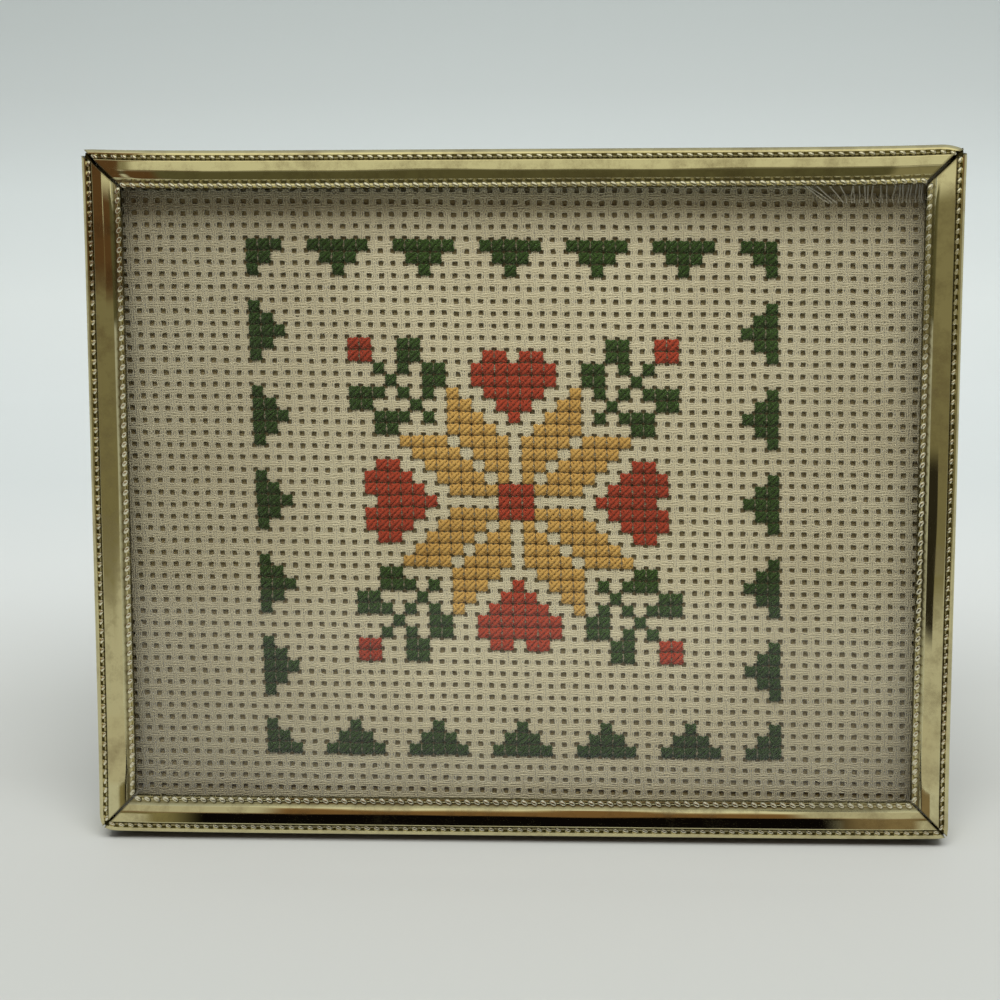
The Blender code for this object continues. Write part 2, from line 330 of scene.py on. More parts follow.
RAIL_ENDS = {
    "top_at_left": {"outer_seam": 0.56, "inner_seam": 0.40, "nip": 0.05, "length": 2.0, "short": 0.0},
    "left_at_top": {"outer_seam": 0.56, "inner_seam": 0.40, "nip": 0.0, "length": 2.0, "short": 0.55},
    "top_at_right": {"outer_seam": 0.68, "inner_seam": 0.50, "nip": 0.8, "length": 3.2, "short": 0.0},
    "right_at_top": {"outer_seam": 0.68, "inner_seam": 0.50, "nip": 0.05, "length": 2.0, "short": 0.85},
    "right_at_bottom": {"outer_seam": 0.32, "inner_seam": 0.32, "nip": 0.15, "length": 1.6, "short": 0.15},
    "bottom_at_right": {"outer_seam": 0.32, "inner_seam": 0.32, "nip": 0.2, "length": 1.6, "short": 0.2},
    "bottom_at_left": {"outer_seam": 0.34, "inner_seam": 0.32, "nip": 0.45, "length": 2.0, "short": 0.45},
    "left_at_bottom": {"outer_seam": 0.34, "inner_seam": 0.32, "nip": 0.45, "length": 2.0, "short": 0.45},
}
BOTTOM_PLACE = (0, 0, 0)
TOP_PLACE = (0, 0, FRAME_HEIGHT)
LEFT_PLACE = (-FRAME_WIDTH / 2, 0, FRAME_HEIGHT / 2)
RIGHT_PLACE = (FRAME_WIDTH / 2, 0, FRAME_HEIGHT / 2)
RAILS = (
    ("rail_bottom", FRAME_WIDTH, "bottom_at_left", "bottom_at_right", BOTTOM_PLACE, 0, -0.20 * MM),
    ("rail_top", FRAME_WIDTH, "top_at_right", "top_at_left", TOP_PLACE, 180, 0.36 * MM),
    ("rail_left", FRAME_HEIGHT, "left_at_top", "left_at_bottom", LEFT_PLACE, 90, 0.16 * MM),
    ("rail_right", FRAME_HEIGHT, "right_at_bottom", "right_at_top", RIGHT_PLACE, -90, 0.15 * MM),
)
WALL_CLOSED = 0.8 * MM
STEPS_PER_NIP = 6
STEPS_PER_CURVE = 10
STEPS_PER_RIM = 7
STEPS_ALONG = 64
RIDGE_WANDER = 0.10 * MM
RIDGE_WAVES = ((8.5 * MM, 900, 1.0), (3.7 * MM, 300, 0.6))
BAND_TWIST = 0.018
BAND_WAVES = ((11.0 * MM, 500, 1.0), (4.3 * MM, 0, 0.5))
# Where the rails are painted dark: a painted dark reflection along the band's outer edge, old polish with
# painted shade by the inner groove, painted shade at the seams.
DARK_REFLECTION_BY_BAND = 1.32 * MM
DARK_REFLECTION_BY_BAND_REACH = 0.30 * MM
POLISH_AND_SHADE_BY_GROOVE = 4.55 * MM
POLISH_AND_SHADE_BY_GROOVE_REACH = 0.5 * MM
SHADE_AT_SEAM = 0.7
BRASS = (0.64, 0.58, 0.33)
TARNISH = (0.22, 0.16, 0.08)
# Dark olive of old polish, and of painted shade in the rails' hollows, seams and lip.
GRIME_AND_SHADE = (0.085, 0.074, 0.028)

glass_low = Vector(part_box("glass")[0])
frame_place = Vector((
    0,
    glass_low.y - GLASS_INSET * math.sin(LEAN) - GLASS_FRONT * math.cos(LEAN),
    glass_low.z - GLASS_INSET * math.cos(LEAN) + GLASS_BACK * math.sin(LEAN),
))
frame_matrix = Matrix.Translation(frame_place) @ Matrix.Rotation(-LEAN, 4, "X")


def curve(start, end, middle_depth):
    """Points after start, up to end, of a curve whose middle lies at a given depth."""
    points = []
    bow = middle_depth - (start[1] + end[1]) / 2
    for step in range(1, STEPS_PER_CURVE + 1):
        part = step / STEPS_PER_CURVE
        across = start[0] + (end[0] - start[0]) * part
        chord = start[1] + (end[1] - start[1]) * part
        points.append((across, chord + bow * 4 * part * (1 - part)))
    return points


def rail_section(stands_on_ground):
    """Closed outline of the rolled sheet, as (across, depth) pairs."""
    shape = [(FACE_WIDTH, LIP_END), (FACE_WIDTH, LIP_TOP + LIP_ROUNDING)]
    shape += [(FACE_WIDTH - 0.2 * LIP_ROUNDING, LIP_TOP + 0.3 * LIP_ROUNDING), (LIP_START, LIP_TOP)]
    shape += curve(shape[-1], (BAND_END, BAND_INNER_EDGE), INNER_GROOVE)
    shape += curve(shape[-1], (RIDGE, RIDGE_DEPTH), SLOPE_MIDDLE)
    band_edge = BAND_START + BAND_ROUNDING
    fall = RIDGE_DEPTH / (RIDGE - band_edge)
    shape.append((RIDGE - RIDGE_ROUNDING, RIDGE_DEPTH - fall * RIDGE_ROUNDING))
    shape += [(band_edge + RIDGE_ROUNDING, fall * RIDGE_ROUNDING), (band_edge, 0.0)]
    shape += [(BAND_START + BAND_ROUNDING * 0.3, BAND_OUTER_EDGE * 0.25), (BAND_START, BAND_OUTER_EDGE)]
    shape += curve(shape[-1], (RIM_END, RIM_TOP), OUTER_GROOVE)
    for step in range(1, STEPS_PER_RIM + 1):
        turn = math.pi / 2 * step / STEPS_PER_RIM
        rounding_across = RIM_END * (1 - math.sin(turn))
        rounding_depth = WALL_TOP - (WALL_TOP - RIM_TOP) * math.cos(turn)
        shape.append((rounding_across, rounding_depth))
    rise = FOOT_WIDTH * math.sin(LEAN) if stands_on_ground else 0.0
    shape += [(0.0, WALL_CLOSED), (0.0, FOOT_START), (rise, RAIL_DEPTH)]
    shape += [(FLANGE_WIDTH, RAIL_DEPTH), (FLANGE_WIDTH, RAIL_DEPTH - METAL)]
    shape += [(METAL + rise, RAIL_DEPTH - METAL), (METAL, FOOT_START - METAL), (METAL, WALL_CLOSED)]
    shape += [(METAL, OUTER_GROOVE + METAL), ((RIM_END + BAND_START) / 2, OUTER_GROOVE + METAL)]
    shape += [(BAND_START + METAL, BAND_OUTER_EDGE + METAL), (RIDGE, RIDGE_DEPTH + METAL)]
    shape += [(BAND_END - METAL, BAND_INNER_EDGE + METAL), ((BAND_END + LIP_START) / 2 - METAL, LIP_END)]
    return shape


def outermost(across):
    """A share from 1 at the rail's outer edge to 0 where its band starts."""
    return max(0.0, 1 - across / BAND_START)


def nipped(across, from_end, rail_end):
    """Where a point across the face goes, near an end where the rail is nipped in."""
    reach = max(0.0, 1 - from_end / (rail_end["length"] * MM)) ** 2
    return across + rail_end["nip"] * MM * reach * outermost(across)


def half_length(length, across, depth, rail_end):
    """From the rail's middle to its mitred end. The mitre gapes in front, and the
    side walls meet behind it, down to the foot."""
    widening = (rail_end["inner_seam"] - rail_end["outer_seam"]) * across / FACE_WIDTH
    seam = (rail_end["outer_seam"] + widening) * MM / math.sqrt(2)
    gap = seam + rail_end["short"] * MM * outermost(across)
    if across < BAND_START and depth >= WALL_CLOSED:
        gap = 0.03 * MM + max(0.0, depth - FOOT_START) * math.tan(LEAN)
    return length / 2 - across - gap


def bowed(share, depth, bow):
    """How far a rail's face has been pressed inwards, at a share of its length."""
    return bow * (1 - (2 * share - 1) ** 6) * max(0.0, 1 - depth / FOOT_START)


def rail_matrix(place, turn):
    """From a rail lying along X with its outer edge at Z 0 to its place in the frame."""
    return frame_matrix @ Matrix.Translation(place) @ Matrix.Rotation(math.radians(turn), 4, "Y")


def rail_stations(start, end):
    """Where the section is set along a rail: a share of the way between two nips,
    or an end with the distance from it."""
    steps = range(STEPS_PER_NIP + 1)
    stations = [(-1, RAIL_ENDS[start], step / STEPS_PER_NIP) for step in steps]
    stations += [(0, None, step / STEPS_ALONG) for step in range(1, STEPS_ALONG)]
    stations += [(1, RAIL_ENDS[end], step / STEPS_PER_NIP) for step in reversed(steps)]
    return stations


def wave_along(along, length, waves):
    """An uneven wave along a rail, from (length, shift, size) of each of its parts."""
    return sum(size * math.sin(along / wave + length * shift) for wave, shift, size in waves)


def place_on_rail(across, depth, station, rail):
    """A point of the section at a station: along the rail, behind its face, across it."""
    node, length, start, end, place, turn, bow = rail
    side, rail_end, share = station
    if side:
        from_end = rail_end["length"] * MM * share
        along = side * (half_length(length, across, depth, rail_end) - from_end)
        moved = nipped(across, from_end, rail_end) + bowed(from_end / length, depth, bow)
        return Vector((along, depth, moved))
    low = RAIL_ENDS[start]["length"] * MM - half_length(length, across, depth, RAIL_ENDS[start])
    high = half_length(length, across, depth, RAIL_ENDS[end]) - RAIL_ENDS[end]["length"] * MM
    along = low + (high - low) * share
    on_band = max(0.0, 1 - ((across - RIDGE) / (BAND_END - RIDGE)) ** 2)
    free = math.sin(math.pi * share) ** 0.5
    wander = RIDGE_WANDER * wave_along(along, length, RIDGE_WAVES) * on_band * free
    twist = BAND_TWIST * wave_along(along, length, BAND_WAVES) * on_band * free
    moved = across + wander + bowed(0.5 + along / length, depth, bow)
    return Vector((along, depth + (across - RIDGE) * twist, moved))


def polish_and_shade(across, depth, at_end):
    """How much old polish and painted shade lie at a point of the section: a painted
    dark reflection along the band's outer edge, old polish with painted shade in the inner
    groove, and painted shade round the lip, inside the sheet and in the seams."""
    between_faces = BAND_START < across < BAND_END and depth > SLOPE_MIDDLE + 0.25 * MM
    inside = METAL - 1e-6 < across < FACE_WIDTH and OUTER_GROOVE + 0.35 * MM < depth < RAIL_DEPTH - 1e-6
    if inside or between_faces:
        return 1.0
    if across > LIP_START + 0.1 * MM:
        return 0.85
    if depth > INNER_GROOVE + 0.01 * MM or across < 1e-6:
        return 1.0 if at_end and depth < WALL_CLOSED + 1e-6 else 0.0
    outer = 1.0 - abs(across - DARK_REFLECTION_BY_BAND) / DARK_REFLECTION_BY_BAND_REACH
    inner = 0.7 - abs(across - POLISH_AND_SHADE_BY_GROOVE) / POLISH_AND_SHADE_BY_GROOVE_REACH
    return min(1.0, max(SHADE_AT_SEAM if at_end else 0.0, outer, inner))


def speckles(nodes, links, place, scale, detail, roughness=0.5):
    """A noise node on a piece's own coordinates."""
    noise = nodes.new("ShaderNodeTexNoise")
    noise.inputs["Scale"].default_value = scale
    noise.inputs["Detail"].default_value = detail
    noise.inputs["Roughness"].default_value = roughness
    links.new(place.outputs["Object"], noise.inputs["Vector"])
    return noise


def tarnish_group():
    """Shader group: brass dulled in patches, more where the lacquer has gone."""
    group = bpy.data.node_groups.new("tarnished_brass", "ShaderNodeTree")
    group.interface.new_socket("Clean", in_out="INPUT", socket_type="NodeSocketColor")
    group.interface.new_socket("Dull", in_out="INPUT", socket_type="NodeSocketColor")
    group.interface.new_socket("Amount", in_out="INPUT", socket_type="NodeSocketFloat")
    group.interface.new_socket("Smoothest", in_out="INPUT", socket_type="NodeSocketFloat")
    group.interface.new_socket("Colour", in_out="OUTPUT", socket_type="NodeSocketColor")
    group.interface.new_socket("Roughness", in_out="OUTPUT", socket_type="NodeSocketFloat")
    group.interface.new_socket("Height", in_out="OUTPUT", socket_type="NodeSocketFloat")
    nodes = group.nodes
    links = group.links
    inputs = nodes.new("NodeGroupInput")
    outputs = nodes.new("NodeGroupOutput")
    place = nodes.new("ShaderNodeTexCoord")
    patches = speckles(nodes, links, place, 190, 7, 0.72)
    edge = nodes.new("ShaderNodeMapRange")
    edge.inputs["From Min"].default_value = 0.46
    edge.inputs["From Max"].default_value = 0.76
    links.new(patches.outputs["Fac"], edge.inputs["Value"])
    share = nodes.new("ShaderNodeMath")
    share.operation = "MULTIPLY"
    links.new(edge.outputs["Result"], share.inputs[0])
    links.new(inputs.outputs["Amount"], share.inputs[1])
    blend = nodes.new("ShaderNodeMix")
    blend.data_type = "RGBA"
    links.new(share.outputs["Value"], blend.inputs["Factor"])
    links.new(inputs.outputs["Clean"], blend.inputs["A"])
    links.new(inputs.outputs["Dull"], blend.inputs["B"])
    grain = speckles(nodes, links, place, 2400, 3)
    rough = nodes.new("ShaderNodeMapRange")
    rough.inputs["To Max"].default_value = 0.38
    links.new(inputs.outputs["Smoothest"], rough.inputs["To Min"])
    links.new(share.outputs["Value"], rough.inputs["Value"])
    links.new(blend.outputs["Result"], outputs.inputs["Colour"])
    links.new(rough.outputs["Result"], outputs.inputs["Roughness"])
    links.new(grain.outputs["Fac"], outputs.inputs["Height"])
    return group


tarnished_brass = tarnish_group()


def brass_finish(name, clean, dull, amount, smoothest, bump):
    """Polished metal from the shared tarnish, with a fine bump, darkened where an attribute paints old
    polish and shade.
    """
    finish, nodes, links, shader = new_finish(name)
    shader.inputs["Metallic"].default_value = 1.0
    wear = nodes.new("ShaderNodeGroup")
    wear.node_tree = tarnished_brass
    wear.inputs["Clean"].default_value = (*clean, 1)
    wear.inputs["Dull"].default_value = (*dull, 1)
    wear.inputs["Amount"].default_value = amount
    wear.inputs["Smoothest"].default_value = smoothest
    # An attribute of old polish and painted shade darkens and roughens the metal.
    grime_and_shade = nodes.new("ShaderNodeAttribute")
    grime_and_shade.attribute_name = "grime_and_shade"
    dirtied = nodes.new("ShaderNodeMix")
    dirtied.data_type = "RGBA"
    dirtied.inputs["B"].default_value = (*GRIME_AND_SHADE, 1)
    links.new(grime_and_shade.outputs["Fac"], dirtied.inputs["Factor"])
    links.new(wear.outputs["Colour"], dirtied.inputs["A"])
    links.new(dirtied.outputs["Result"], shader.inputs["Base Color"])
    dulled = nodes.new("ShaderNodeMath")
    dulled.operation = "MULTIPLY_ADD"
    dulled.inputs[1].default_value = 0.4
    links.new(grime_and_shade.outputs["Fac"], dulled.inputs[0])
    links.new(wear.outputs["Roughness"], dulled.inputs[2])
    links.new(dulled.outputs["Value"], shader.inputs["Roughness"])
    relief = nodes.new("ShaderNodeBump")
    relief.inputs["Strength"].default_value = bump
    relief.inputs["Distance"].default_value = 0.02 * MM
    links.new(wear.outputs["Height"], relief.inputs["Height"])
    links.new(relief.outputs["Normal"], shader.inputs["Normal"])
    return finish


rail_brass = brass_finish("rail_brass", BRASS, TARNISH, 0.65, 0.07, 0.03)

for each in RAILS:
    node, length, start, end, place, turn, bow = each
    section = rail_section(node == "rail_bottom")
    stations = rail_stations(start, end)
    bpy.ops.object.select_all(action="DESELECT")
    bpy.ops.mesh.primitive_circle_add(vertices=len(section), radius=1, fill_type="NGON")
    rail = bpy.context.object
    rail.name = "beaded_" + node
    for vertex, (across, depth) in zip(rail.data.vertices, section):
        vertex.co = (0, depth, across)
    bpy.ops.object.mode_set(mode="EDIT")
    for station in stations[1:]:
        bpy.ops.mesh.extrude_region_move(TRANSFORM_OT_translate={"value": (1, 0, 0)})
    bpy.ops.object.mode_set(mode="OBJECT")
    matrix = rail_matrix(place, turn)
    # Old polish and painted shade at each point of the section.
    grime_and_shade = rail.data.attributes.new("grime_and_shade", "FLOAT", "POINT")
    for vertex in rail.data.vertices:
        number, depth, across = vertex.co
        station = stations[round(number)]
        at_end = station[0] != 0 and station[2] == 0
        grime_and_shade.data[vertex.index].value = polish_and_shade(across, depth, at_end)
        vertex.co = matrix @ place_on_rail(across, depth, station, each)
    bpy.ops.object.mode_set(mode="EDIT")
    bpy.ops.mesh.select_all(action="SELECT")
    bpy.ops.mesh.normals_make_consistent(inside=False)
    bpy.ops.object.mode_set(mode="OBJECT")
    bpy.ops.object.shade_smooth_by_angle(angle=math.radians(32))
    rail.data.materials.append(rail_brass)
    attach(rail, "root")
    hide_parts(node)


# Beads: two rows of small raised beads, stamped along the grooves of each rail,
# brighter on top, and dark between them with old polish and painted shade.
BEAD_PITCH = 1.45 * MM
BEAD_SEGMENTS = 10
BEAD_RINGS = 6
BEAD_ROWS = (
    {"name": "outer_beads", "across": 0.98, "depth": 0.44, "length": 0.58, "width": 0.34, "height": 0.25},
    {"name": "inner_beads", "across": 5.06, "depth": 0.76, "length": 0.64, "width": 0.38, "height": 0.31},
)
BEAD_JITTER = 0.03 * MM
BEAD_SLANT = math.radians(32)
# Paler and brighter than the rails' brass, though stamped in the same sheet: a painted highlight.
BEAD_BRASS_PAINTED_PALE = (0.80, 0.76, 0.58)

bead_random = np.random.default_rng(7)
bead_brass = brass_finish("bead_brass", BEAD_BRASS_PAINTED_PALE, TARNISH, 0.4, 0.2, 0.2)


def mesh_piece(name, points, triangles, finish, ply=None):
    """A new piece from arrays of points and triangles, shaded smooth."""
    mesh = bpy.data.meshes.new(name)
    mesh.vertices.add(len(points))
    mesh.vertices.foreach_set("co", np.asarray(points, dtype=np.float32).ravel())
    mesh.loops.add(triangles.size)
    mesh.loops.foreach_set("vertex_index", triangles.astype(np.int32).ravel())
    mesh.polygons.add(len(triangles))
    mesh.polygons.foreach_set("loop_start", np.arange(0, triangles.size, 3, dtype=np.int32))
    mesh.update(calc_edges=True)
    mesh.validate()
    if ply is not None:
        layer = mesh.attributes.new("ply", "FLOAT_VECTOR", "POINT")
        layer.data.foreach_set("vector", np.asarray(ply, dtype=np.float32).ravel())
    mesh.shade_smooth()
    mesh.materials.append(finish)
    piece = bpy.data.objects.new(name, mesh)
    bpy.context.collection.objects.link(piece)
    return piece


bpy.ops.object.select_all(action="DESELECT")
bpy.ops.mesh.primitive_uv_sphere_add(segments=BEAD_SEGMENTS, ring_count=BEAD_RINGS, radius=1)
bead = bpy.context.object
bpy.ops.object.mode_set(mode="EDIT")
bpy.ops.mesh.quads_convert_to_tris()
bpy.ops.object.mode_set(mode="OBJECT")
bead_points = np.array([vertex.co for vertex in bead.data.vertices])
bead_triangles = np.array([polygon.vertices for polygon in bead.data.polygons])
bpy.data.objects.remove(bead, do_unlink=True)
# Old polish and painted shade at each bead's ends, where it meets the next.
bead_polish_and_shade = np.clip((np.abs(bead_points[:, 0]) - 0.6) / 0.4, 0, 1) ** 2

for row in BEAD_ROWS:
    across = row["across"] * MM
    places = []
    for node, length, start, end, place, turn, bow in RAILS:
        low = -half_length(length, across, 0, RAIL_ENDS[start]) + row["length"] * MM
        high = half_length(length, across, 0, RAIL_ENDS[end]) - row["length"] * MM
        count = round((high - low) / BEAD_PITCH) + 1
        matrix = rail_matrix(place, turn)
        for along in np.linspace(low, high, count):
            moved = nipped(across, along - low, RAIL_ENDS[start])
            moved = nipped(moved, high - along, RAIL_ENDS[end])
            moved += bowed(0.5 + along / length, row["depth"] * MM, bow)
            jitter = bead_random.normal(0, BEAD_JITTER / 2, 2)
            middle = Vector((along + jitter[0], row["depth"] * MM, moved + jitter[1]))
            size = bead_random.uniform(0.95, 1.04)
            radii = (row["length"] * MM * size, row["height"] * MM, row["width"] * MM * size, 1)
            slant = Matrix.Rotation(BEAD_SLANT, 4, "Y")
            places.append(np.array(matrix @ Matrix.Translation(middle) @ slant @ Matrix.Diagonal(radii)))
    places = np.array(places)
    points = np.einsum("bij,pj->bpi", places[:, :3, :3], bead_points) + places[:, None, :3, 3]
    offsets = np.arange(len(places))[:, None, None] * len(bead_points)
    triangles = (bead_triangles[None] + offsets).reshape(-1, 3)
    beads = mesh_piece(row["name"], points.reshape(-1, 3), triangles, bead_brass)
    grime_and_shade = beads.data.attributes.new("grime_and_shade", "FLOAT", "POINT")
    grime_and_shade.data.foreach_set("value", np.tile(bead_polish_and_shade, len(places)).astype(np.float32))
    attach(beads, "root")


# Glass: one sheet of clear float glass, cut to fill the rails' channel and laid
# in behind their lips before the cloth.
clear, nodes, links, shader = new_finish("clear_glass")
shader.inputs["Base Color"].default_value = (0.97, 0.99, 0.98, 1)
shader.inputs["Roughness"].default_value = 0.02
shader.inputs["IOR"].default_value = 1.35
shader.inputs["Transmission Weight"].default_value = 1.0
ray = nodes.new("ShaderNodeLightPath")
open_way = nodes.new("ShaderNodeBsdfTransparent")
for_diffuse = nodes.new("ShaderNodeMixShader")
links.new(ray.outputs["Is Diffuse Ray"], for_diffuse.inputs["Fac"])
links.new(shader.outputs["BSDF"], for_diffuse.inputs[1])
links.new(open_way.outputs["BSDF"], for_diffuse.inputs[2])
for_shadow = nodes.new("ShaderNodeMixShader")
links.new(ray.outputs["Is Shadow Ray"], for_shadow.inputs["Fac"])
links.new(for_diffuse.outputs["Shader"], for_shadow.inputs[1])
links.new(open_way.outputs["BSDF"], for_shadow.inputs[2])
links.new(for_shadow.outputs["Shader"], nodes["Material Output"].inputs["Surface"])
glass = bpy.data.objects["glass"]
glass.data.materials.clear()
glass.data.materials.append(clear)


# Cloth: ecru cotton evenweave, 14 blocks to the inch, four threads each way in a
# block and a hole at each of its corners. The ground is one thin sheet cut to
# the glass, pierced at the holes and frayed away at its top right corner.
CLOTH_WIDTH = 126.8 * MM
CLOTH_HEIGHT = 100.6 * MM
GROUND_DEPTH = 5.00 * MM
CHART_CELLS = 43
CHART_TOP_LEFT = (-41.28 * MM, -38.73 * MM)
CHART_TOP_RIGHT = (38.10 * MM, -37.95 * MM)
CHART_BOTTOM_RIGHT = (39.98 * MM, 40.51 * MM)
CHART_BOTTOM_LEFT = (-39.08 * MM, 40.04 * MM)
HOLE_HALF = 0.20
HOLE_JITTER = 0.06 * MM
JITTER_MARGIN = 16
COLUMNS_BEYOND_CHART = 14
ROWS_BEYOND_CHART = 8
FRAY_LEFT = 43.5 * MM
FRAY_TOP = -43.95 * MM
ECRU = (0.55, 0.49, 0.325)
# Darker ecru: painted shade for the ground seen between the threads; the threads' blotches use it too.
ECRU_SHADE = (0.46, 0.395, 0.25)
# Painted shade across and up the cloth, darker towards the frame: (millimetres, share of light left).
EDGE_SHADE_ACROSS = (
    (-62, 0.60), (-50, 0.69), (-36, 0.82), (-15, 0.98), (12, 1.0), (30, 0.94), (46, 0.83), (60, 0.76),
)
EDGE_SHADE_UP = ((4, 0.74), (12, 0.81), (26, 0.95), (45, 1.0), (78, 1.0), (94, 0.92))

hole_random = np.random.default_rng(14)
jitter_count = CHART_CELLS + 2 * JITTER_MARGIN
hole_moves = hole_random.normal(0, HOLE_JITTER, (jitter_count, jitter_count, 2))


def on_cloth(s, t, depth):
    """Frame places of chart places, in blocks right and down from the chart's corner."""
    s, t, depth = np.broadcast_arrays(s, t, depth)
    u = s[..., None] / CHART_CELLS
    v = t[..., None] / CHART_CELLS
    top = np.array(CHART_TOP_LEFT) * (1 - u) + np.array(CHART_TOP_RIGHT) * u
    bottom = np.array(CHART_BOTTOM_LEFT) * (1 - u) + np.array(CHART_BOTTOM_RIGHT) * u
    flat = top * (1 - v) + bottom * v
    column = np.clip(s + JITTER_MARGIN, 0, jitter_count - 1.001)
    row = np.clip(t + JITTER_MARGIN, 0, jitter_count - 1.001)
    i = column.astype(int)
    j = row.astype(int)
    a = (column - i)[..., None]
    b = (row - j)[..., None]
    moves = (
        hole_moves[i, j] * (1 - a) * (1 - b)
        + hole_moves[i + 1, j] * a * (1 - b)
        + hole_moves[i, j + 1] * (1 - a) * b
        + hole_moves[i + 1, j + 1] * a * b
    )
    flat = flat + moves
    return np.stack((flat[..., 0], depth, FRAME_HEIGHT / 2 - flat[..., 1]), axis=-1)


def to_world(points):
    """World places of points given as (x, depth behind the face, height up the face)."""
    turn = np.array(frame_matrix.to_3x3())
    return points.reshape(-1, 3) @ turn.T + np.array(frame_matrix.translation)


def edge_shade_group():
    """Shader group: painted shade on the cloth, darkest at its edges by the frame,
    from the share of light left at places across it and up it, in millimetres."""
    group = bpy.data.node_groups.new("painted_edge_shade", "ShaderNodeTree")
    group.interface.new_socket("Light", in_out="OUTPUT", socket_type="NodeSocketFloat")
    nodes = group.nodes
    links = group.links
    outputs = nodes.new("NodeGroupOutput")
    place = nodes.new("ShaderNodeTexCoord")
    split = nodes.new("ShaderNodeSeparateXYZ")
    links.new(place.outputs["Object"], split.inputs["Vector"])
    both = nodes.new("ShaderNodeMath")
    both.operation = "MULTIPLY"
    for number, (axis, shades) in enumerate((("X", EDGE_SHADE_ACROSS), ("Z", EDGE_SHADE_UP))):
        start = shades[0][0]
        end = shades[-1][0]
        distance = nodes.new("ShaderNodeMapRange")
        distance.inputs["From Min"].default_value = start * MM
        distance.inputs["From Max"].default_value = end * MM
        links.new(split.outputs[axis], distance.inputs["Value"])
        ramp = nodes.new("ShaderNodeValToRGB")
        set_stops(ramp, [((at - start) / (end - start), (light, light, light)) for at, light in shades])
        links.new(distance.outputs["Result"], ramp.inputs["Fac"])
        links.new(ramp.outputs["Color"], both.inputs[number])
    links.new(both.outputs["Value"], outputs.inputs["Light"])
    return group


painted_edge_shade = edge_shade_group()


def cotton_finish(name, colour, shade, twist, twist_depth, fuzz, sheen):
    """Cotton yarn: plies that wind along it, soft blotches, a dull sheen and painted shade towards the
    cloth's edges.
    """
    finish, nodes, links, shader = new_finish(name)
    shader.inputs["Roughness"].default_value = 0.85
    shader.inputs["Specular IOR Level"].default_value = 0.25
    shader.inputs["Sheen Weight"].default_value = sheen
    shader.inputs["Sheen Roughness"].default_value = 0.5
    place = nodes.new("ShaderNodeTexCoord")
    blotches = speckles(nodes, links, place, 45, 5)
    fibres = speckles(nodes, links, place, 5200, 3)
    ply = nodes.new("ShaderNodeAttribute")
    ply.attribute_name = "ply"
    parts = nodes.new("ShaderNodeSeparateXYZ")
    links.new(ply.outputs["Vector"], parts.inputs["Vector"])
    angle = nodes.new("ShaderNodeMath")
    angle.operation = "MULTIPLY_ADD"
    angle.inputs[1].default_value = twist
    links.new(parts.outputs["X"], angle.inputs[0])
    links.new(parts.outputs["Y"], angle.inputs[2])
    wind = nodes.new("ShaderNodeMath")
    wind.operation = "SINE"
    links.new(angle.outputs["Value"], wind.inputs[0])
    height = nodes.new("ShaderNodeMath")
    height.operation = "MULTIPLY_ADD"
    height.inputs[1].default_value = fuzz
    links.new(fibres.outputs["Fac"], height.inputs[0])
    links.new(wind.outputs["Value"], height.inputs[2])
    relief = nodes.new("ShaderNodeBump")
    relief.inputs["Strength"].default_value = 0.8
    relief.inputs["Distance"].default_value = twist_depth
    links.new(height.outputs["Value"], relief.inputs["Height"])
    links.new(relief.outputs["Normal"], shader.inputs["Normal"])
    shading = nodes.new("ShaderNodeMapRange")
    shading.inputs["From Min"].default_value = 0.35
    shading.inputs["From Max"].default_value = 0.85
    links.new(blotches.outputs["Fac"], shading.inputs["Value"])
    speckle = nodes.new("ShaderNodeMath")
    speckle.operation = "MULTIPLY_ADD"
    speckle.inputs[1].default_value = 0.5
    links.new(fibres.outputs["Fac"], speckle.inputs[0])
    links.new(shading.outputs["Result"], speckle.inputs[2])
    lowered = nodes.new("ShaderNodeMath")
    lowered.operation = "SUBTRACT"
    lowered.inputs[1].default_value = 0.3
    lowered.use_clamp = True
    links.new(speckle.outputs["Value"], lowered.inputs[0])
    blend = nodes.new("ShaderNodeMix")
    blend.data_type = "RGBA"
    blend.inputs["A"].default_value = (*colour, 1)
    blend.inputs["B"].default_value = (*shade, 1)
    links.new(lowered.outputs["Value"], blend.inputs["Factor"])
    # Painted shade, darker towards the cloth's edges.
    edge_shade = nodes.new("ShaderNodeGroup")
    edge_shade.node_tree = painted_edge_shade
    darkened = nodes.new("ShaderNodeVectorMath")
    darkened.operation = "SCALE"
    links.new(blend.outputs["Result"], darkened.inputs["Vector"])
    links.new(edge_shade.outputs["Light"], darkened.inputs["Scale"])
    links.new(darkened.outputs["Vector"], shader.inputs["Base Color"])
    return finish


# The ground is all in the darker ecru, as painted shade between the threads.
ground_cotton = cotton_finish("ground_cotton", ECRU_SHADE, ECRU_SHADE, 0.0, 0.02 * MM, 1.0, 0.1)


def ground_lines(beyond):
    """Lines on both sides of each row of holes, in blocks, and one at each edge,
    from some blocks before the chart to as many after it."""
    holes = np.arange(-beyond, CHART_CELLS + beyond + 1)
    beside_holes = np.stack((holes - HOLE_HALF, holes + HOLE_HALF), axis=1).ravel()
    return np.concatenate(([holes[0] - 0.5], beside_holes, [holes[-1] + 0.5]))


